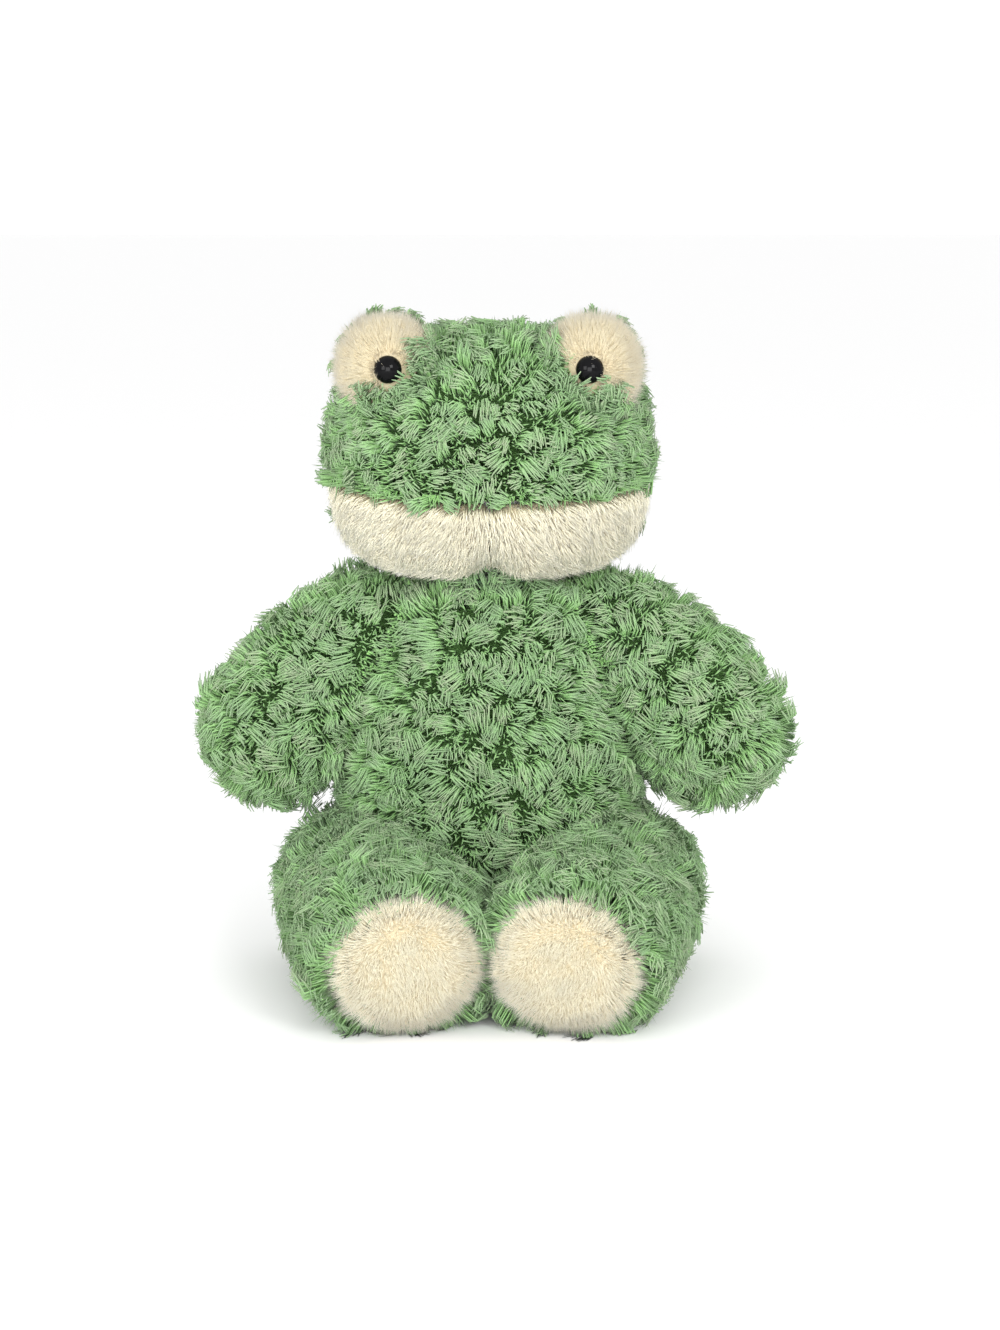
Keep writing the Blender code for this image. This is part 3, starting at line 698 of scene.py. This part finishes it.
def grow_underwool(name, spots, outward, body, seed, sizes):
    """Stand short thick wool between the locks, so that no ground shows."""
    chance = np.random.default_rng(seed)
    roots = spots - outward * CURL_ROOT_DEPTH
    lean = chance.normal(size=spots.shape) + curl_flow(spots, body)
    tips = roots + sizes[:, None] * (outward * UNDERWOOL_RISE * chance.uniform(0.7, 1.15, (len(spots), 1))
                                     + lean * UNDERWOOL_LEAN)
    piece = strand_piece(name, [roots, tips], np.full(len(spots), UNDERWOOL_RADIUS),
                         chance.uniform(0.08, 0.92, len(spots)), top=UNDERWOOL_TOP)
    dress(piece, green_curls, body, [])


green_curls = curl_finish()
for number, (node, body) in enumerate([*GREEN_PANELS.items(), *((front, "head") for front in EYE_SIDES)]):
    chance = np.random.default_rng(900 + number)
    size = (MOUND_LOCKS if "mound_back" in node else HEAD_LOCKS if node in ("crown_panel", "head_back_panel")
            else LEG_LOCKS if "leg" in body else 1.0)
    spacing = EYE_CURL_SPACING if node in EYE_SIDES else CURL_SPACING
    name = node.replace("_panel", "").replace("_mound", "")
    spots, outward = strew(node, CURL_TRIES / spacing ** 2, chance)
    kept = thin_out(spots, spacing)
    spots, outward = green_spots(node, body, spots[kept], outward[kept])
    room = has_room(node, body, spots)
    grow_curls(name + "_curls", spots[room], outward[room], body, 100 + 7 * number, size)
    spots, outward = green_spots(node, body, *strew(node, UNDERWOOL_IN_MM2, chance))
    sizes = np.where(has_room(node, body, spots, WOOL_SHARE), size, CROPPED_WOOL)
    grow_underwool(name + "_underwool", spots, outward, body, 300 + number, sizes)
for number, body in enumerate(STUFFED_BODIES):
    spots, outward = strew(body + "_stuffing", UNDERWOOL_IN_MM2, np.random.default_rng(700 + number))
    bare = in_the_air(spots, outward, body, WALL_AND_MORE)
    grow_underwool(body + "_gathered_wool", spots[bare], outward[bare], body, 800 + number,
                   np.full(int(bare.sum()), CROPPED_WOOL))

# Neck curls: the ends of the body's plush that are gathered into the neck seam, a tight ring of locks.
NECK_LOCKS = 30
NECK_LOCK_SIZE = 1.15
NECK_RINGS = ((0.0200, 0.0010), (0.0195, -0.0045))    # each ring's radius, and its height over the joint

turns = np.arange(NECK_LOCKS) * math.tau / NECK_LOCKS
radial = np.stack([np.cos(turns), np.sin(turns), np.zeros(NECK_LOCKS)], axis=1)
spots = np.concatenate([joint_place("neck_turn") + radial * radius + np.array([0, 0, rise])
                        for radius, rise in NECK_RINGS])
grow_curls("neck_curls", spots, np.concatenate([radial, radial]), "neck", 77, NECK_LOCK_SIZE)

# Cream cloth: the smooth short plush of the jaw, the eye mounds' fronts and the soles. Its backing is
# a fine cream knit, painted a darker tan than the hair as painted shade under the hair, and the two jaw
# panels meet in a seam that pulls in at the chin.
# both knit colours are painted shade: darker than the cloth's own cream, for the shade under the hair and in
# its partings
CREAM_KNIT_DARK_IN_PAINTED_SHADE = (0.52, 0.43, 0.27)
CREAM_KNIT_LIGHT_IN_PAINTED_SHADE = (0.66, 0.58, 0.41)
CREAM_VOXEL = 0.0022
CREAM_SINK = 0.17           # of the wall's thickness
CREAM_SWELL_CAP = 0.0003
CHIN_PULL = 0.75            # of the wall's thickness, where the chin's seam is drawn tightest
CHIN_PULL_WIDE = 0.012
CHIN_PULL_TOP = 0.172
CHIN_PULL_FADE = 0.012
CREAM_PANELS = {
    "left_jaw_panel": "head", "right_jaw_panel": "head",
    "left_eye_mound_front": "head", "right_eye_mound_front": "head",
    "left_sole_panel": "left_leg", "right_sole_panel": "right_leg"}


def cream_cloth_finish():
    """Fine knit under the short pile."""
    finish, shader, place = new_finish("cream_backing", 0.9, specular=0.1)
    rows = place.node("ShaderNodeTexWave", {"bands_direction": "X"},
                      {"Vector": place, "Scale": 900, "Distortion": 1.5})
    patches = place.node("ShaderNodeTexNoise", {}, {"Vector": place, "Scale": 260, "Detail": 4.0})
    # the colour is painted darker than the hair: painted shade under the hair
    feed((rows * 0.3 + patches * 0.7).blend(CREAM_KNIT_DARK_IN_PAINTED_SHADE, CREAM_KNIT_LIGHT_IN_PAINTED_SHADE), shader, "Base Color")
    raise_by(shader, rows * 0.5 + patches, 0.5, 0.0006)
    return finish


def chin_pull(places):
    """How far the chin's seam draws the jaw in at some places, as a share of the wall's thickness."""
    away = np.abs(places[:, :1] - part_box("left_jaw_panel")[0][0]) / CHIN_PULL_WIDE
    low = np.clip((CHIN_PULL_TOP - places[:, 2:]) / CHIN_PULL_FADE, 0, 1)
    return CHIN_PULL * np.clip(1 - away, 0, 1) ** 1.5 * low


cream_backing = cream_cloth_finish()
cream_cloths = []
for node, body in CREAM_PANELS.items():
    cloth = copy_of(node, node + "_cloth")
    rebuild(cloth, CREAM_VOXEL)
    pull = chin_pull(places_of(cloth.data)) if "jaw" in node else 0.0
    draw_in(cloth, filling_of(node, body), CREAM_SINK + pull)
    cream_cloths.append(dress(cloth, cream_backing, body, [node]))
swell(cream_cloths, CREAM_SWELL_CAP)

# Cream hair: the short pile, brushed down and away from the chin seam on the jaw, outwards round each
# eye, down on the soles and out over their rims. Single fine hairs that run out to a point.
HAIR_LENGTH = 0.0056
HAIR_RADIUS = 0.00012
HAIR_ROOT_DEPTH = 0.0016
HAIR_WAVE = 0.014
JAW_PARTING = 50            # how fast the jaw's hair turns aside from the chin seam
SOLE_RIM_FROM = 0.50        # as a share of the way out from the middle
SOLE_RIM_RISE = 2.2
SOLE_RIM_OUT = 1.45
SOLE_DOWN = 0.45
HAIR_SHADE = (0.74, 0.62, 0.39)
HAIR_BODY = (0.87, 0.82, 0.63)
HAIR_TIP = (0.91, 0.88, 0.75)


def hair_finish():
    """Cream hair, a little darker at the root."""
    finish, shader, place = new_finish("cream_hair", 0.7, sheen=0.3, specular=0.25)
    uv = place.node("ShaderNodeUVMap", {"uv_map": "OFBake"})
    tone = place.node("ShaderNodeSeparateXYZ", {}, {0: uv}, output=0)
    height = place.node("ShaderNodeSeparateXYZ", {}, {0: uv}, output=1)
    lower = tone.node("ShaderNodeMapRange", {}, {0: height, 1: 0.0, 2: 0.5}).blend(HAIR_SHADE, HAIR_BODY)
    upper = tone.node("ShaderNodeMapRange", {}, {0: height, 1: 0.35, 2: 1.0})
    feed((upper * (tone * 0.6 + 0.4)).blend(lower, HAIR_TIP), shader, "Base Color")
    return finish


def comb_hair(name, node, body, seed, comb, density, length, stand, bent=True, top=1.0):
    """Cover a cream panel with hair; comb gives which way it is brushed at a point, and how far."""
    chance = np.random.default_rng(seed)
    spots, outward = strew(node, density, chance)
    keep = in_the_air(spots, outward, body)
    if body == "head":
        keep &= np.linalg.norm(spots - joint_place("neck_turn"), axis=1) > NECK_SOCKET
    if node in EYE_SIDES:
        keep &= above_eye_line(spots, EYE_SIDES[node]) > -CREAM_UNDER_EYE_LINE
    spots, outward = spots[keep], outward[keep]
    lie = comb(spots) + waves(spots, chance, HAIR_WAVE) * 0.25 + chance.normal(size=spots.shape) * 0.22
    lie = lie - outward * np.sum(lie * outward, axis=1, keepdims=True)
    if "jaw" in node:
        skull = tree_of(["head_stuffing"])
        nearest = np.array([skull.find_nearest(Vector(spot))[0] for spot in spots])
        spots = spots + (nearest - spots) * chin_pull(spots)
    reach = HAIR_LENGTH * length * chance.uniform(0.75, 1.2, (len(spots), 1))
    lift = stand * chance.uniform(0.75, 1.25, (len(spots), 1))
    roots = spots - outward * HAIR_ROOT_DEPTH
    bends = roots + outward * reach * lift * 0.75 + lie * reach * 0.30
    tips = roots + outward * reach * lift + lie * reach * 0.88
    piece = strand_piece(name, [roots, bends, tips] if bent else [roots, tips],
                         np.full(len(spots), HAIR_RADIUS), chance.uniform(0.05, 0.95, len(spots)), top=top)
    dress(piece, cream_hair, body, [])


def jaw_comb(spots):
    """Down, and away from the seam."""
    return unit(np.stack([np.clip(spots[:, 0] * JAW_PARTING, -0.7, 0.7), np.zeros(len(spots)),
                          -np.ones(len(spots))], axis=1))


def mound_comb(side):
    """Away from the eye."""
    eye = middle_of(side + "_eye")
    return lambda spots: unit(unit(spots - eye) + np.array([0, 0, 0.35]))


def sole_comb(side):
    """Down in the middle of the sole, and out over its rim."""
    low, high = (np.array(corner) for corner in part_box(side + "_sole_panel"))

    def comb(spots):
        away = (spots - (low + high) / 2) / (high - low) * 2
        away[:, 1] = 0
        rim = np.clip((np.linalg.norm(away, axis=1, keepdims=True) - SOLE_RIM_FROM) * SOLE_RIM_RISE, 0, 1)
        return unit(away) * rim * SOLE_RIM_OUT + np.array([0, 0, -SOLE_DOWN]) * (1 - rim)
    return comb


cream_hair = hair_finish()
for number, side in enumerate(("left", "right")):
    comb_hair(side + "_jaw_hair", side + "_jaw_panel", "head", 501 + number, jaw_comb,
              density=3.0, length=1.35, stand=0.65)
    # the mound hair's colour stops near the body colour, short of the pale tip (top): painted shade, as the
    # mounds catch the most light from above
    comb_hair(side + "_eye_mound_hair", side + "_eye_mound_front", "head", 511 + number, mound_comb(side),
              density=6.0, length=1.0, stand=0.75, bent=False, top=0.42)
    comb_hair(side + "_sole_hair", side + "_sole_panel", side + "_leg", 521 + number, sole_comb(side),
              density=6.5, length=0.9, stand=0.7, bent=False)

# Eyes: domed buttons of glossy black plastic, turned with a thin rim, on a stem that goes through the
# cloth into a ribbed washer of translucent plastic behind it.
EYE_BLACK = (0.002, 0.002, 0.002)
EYE_GREY = (0.005, 0.005, 0.006)
WASHER_WHITE = (0.72, 0.74, 0.76)
WASHER_GREY = (0.60, 0.62, 0.64)
DOME_DEPTH = 0.004
RIM_WIDTH = 0.0004
RIM_DEPTH = 0.0003
STEM_RADIUS = 0.0015
STEM_LENGTH = 0.0068


def eye_finish():
    """Moulded black plastic with a polished dome."""
    finish, shader, place = new_finish("black_eye_plastic", 0.06, specular=0.10)
    flow = place.node("ShaderNodeTexNoise", {}, {"Vector": place, "Scale": 400, "Detail": 2.0})
    feed(flow.blend(EYE_BLACK, EYE_GREY), shader, "Base Color")
    feed(flow * 0.05 + 0.04, shader, "Roughness")
    return finish


def washer_finish():
    """Milky plastic with moulded ribs."""
    finish, shader, place = new_finish("washer_plastic", 0.45, specular=0.4)
    ribs = place.node("ShaderNodeTexWave", {"wave_type": "RINGS"}, {"Vector": place, "Scale": 300})
    feed(ribs.blend(WASHER_GREY, WASHER_WHITE), shader, "Base Color")
    raise_by(shader, ribs, 0.4, 0.0002)
    return finish


def make_eye(side):
    """A dome, its rim and its stem, turned on the eye's own axis."""
    low, high = (Vector(corner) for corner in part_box(side + "_eye"))
    middle = (low + high) / 2
    back = low.y + DOME_DEPTH
    radius = (high.x - low.x) / 2
    bpy.ops.object.select_all(action="DESELECT")
    bpy.ops.mesh.primitive_uv_sphere_add(segments=48, ring_count=32, radius=radius,
                                         location=(middle.x, back, middle.z),
                                         rotation=(math.radians(90), 0, 0))
    eye = bpy.context.object
    eye.name = eye.data.name = side + "_button_eye"
    bpy.ops.object.transform_apply(location=True, rotation=True, scale=True)
    bpy.ops.object.mode_set(mode="EDIT")
    bpy.ops.mesh.select_all(action="SELECT")
    bpy.ops.mesh.bisect(plane_co=(middle.x, back, middle.z), plane_no=(0, 1, 0), use_fill=True,
                        clear_outer=True)
    bpy.ops.mesh.inset(thickness=RIM_WIDTH)
    bpy.ops.transform.translate(value=(0, RIM_DEPTH, 0))
    bpy.ops.mesh.inset(thickness=radius - RIM_WIDTH - STEM_RADIUS)
    bpy.ops.mesh.extrude_region_move(TRANSFORM_OT_translate={"value": (0, STEM_LENGTH, 0)})
    bpy.ops.object.mode_set(mode="OBJECT")
    places = places_of(eye.data).copy()
    front = places[:, 1] < back
    places[front, 1] = back - (back - places[front, 1]) * (DOME_DEPTH / radius)
    eye.data.vertices.foreach_set("co", places.ravel())
    eye.data.update()
    dress(eye, black_eye, "head", [side + "_eye"])
    pick(eye)
    bpy.ops.object.shade_smooth_by_angle(angle=math.radians(35))


black_eye = eye_finish()
milky_washer = washer_finish()
for side in ("left", "right"):
    make_eye(side)
    frame["nodes"][side + "_eye_washer"].material_slots[0].material = milky_washer

# Room: a plain pale floor, soft studio light and the photograph's camera. None of it is part of the frog.
FLOOR_PALE = (0.895, 0.895, 0.895)
FLOOR_SHADE = (0.89, 0.89, 0.89)
FLOOR_SIZE = 60
SKY_STRENGTH = 1.10
LIGHT_AIM = (0.0, 0.0, 0.12)
LIGHTS = (("key_light", (0.6, -1.3, 0.8), 0.5, 10.0),    # name, place, size and power
          ("fill_light", (-0.8, -1.3, 0.5), 0.6, 8.0),
          ("front_light", (0.0, -1.6, 0.25), 0.8, 15.0))
CAMERA_PLACE = (0.004, -1.0362, 0.2847)
CAMERA_AIM = (0.004, 0.0, 0.1148)
CAMERA_LENS = 75.34
CAMERA_SENSOR = 36


def floor_finish():
    """Matt paper sweep."""
    finish, shader, place = new_finish("pale_paper", 0.95, specular=0.1)
    grain = place.node("ShaderNodeTexNoise", {}, {"Vector": place, "Scale": 60, "Detail": 2.0})
    feed(grain.blend(FLOOR_SHADE, FLOOR_PALE), shader, "Base Color")
    return finish


bpy.ops.object.select_all(action="DESELECT")
bpy.ops.mesh.primitive_plane_add(size=FLOOR_SIZE, location=(0, 0, 0))
floor = bpy.context.object
floor.name = "paper_floor"
floor.data.materials.append(floor_finish())

world = bpy.data.worlds.new("studio")
bpy.context.scene.world = world
world.use_nodes = True
world.node_tree.nodes["Background"].inputs["Color"].default_value = (1.0, 1.0, 1.0, 1.0)
world.node_tree.nodes["Background"].inputs["Strength"].default_value = SKY_STRENGTH

for name, place, size, power in LIGHTS:
    bpy.ops.object.light_add(type="AREA", location=place)
    lamp = bpy.context.object
    lamp.name = name
    lamp.data.size = size
    lamp.data.energy = power
    lamp.rotation_euler = (Vector(LIGHT_AIM) - Vector(place)).to_track_quat("-Z", "Y").to_euler()

bpy.ops.object.camera_add(location=CAMERA_PLACE)
camera = bpy.context.object
camera.name = "photo_camera"
camera.data.lens = CAMERA_LENS
camera.data.sensor_width = CAMERA_SENSOR
camera.rotation_euler = (Vector(CAMERA_AIM) - Vector(CAMERA_PLACE)).to_track_quat("-Z", "Y").to_euler()
bpy.context.scene.camera = camera
bpy.context.scene.view_settings.view_transform = "Standard"
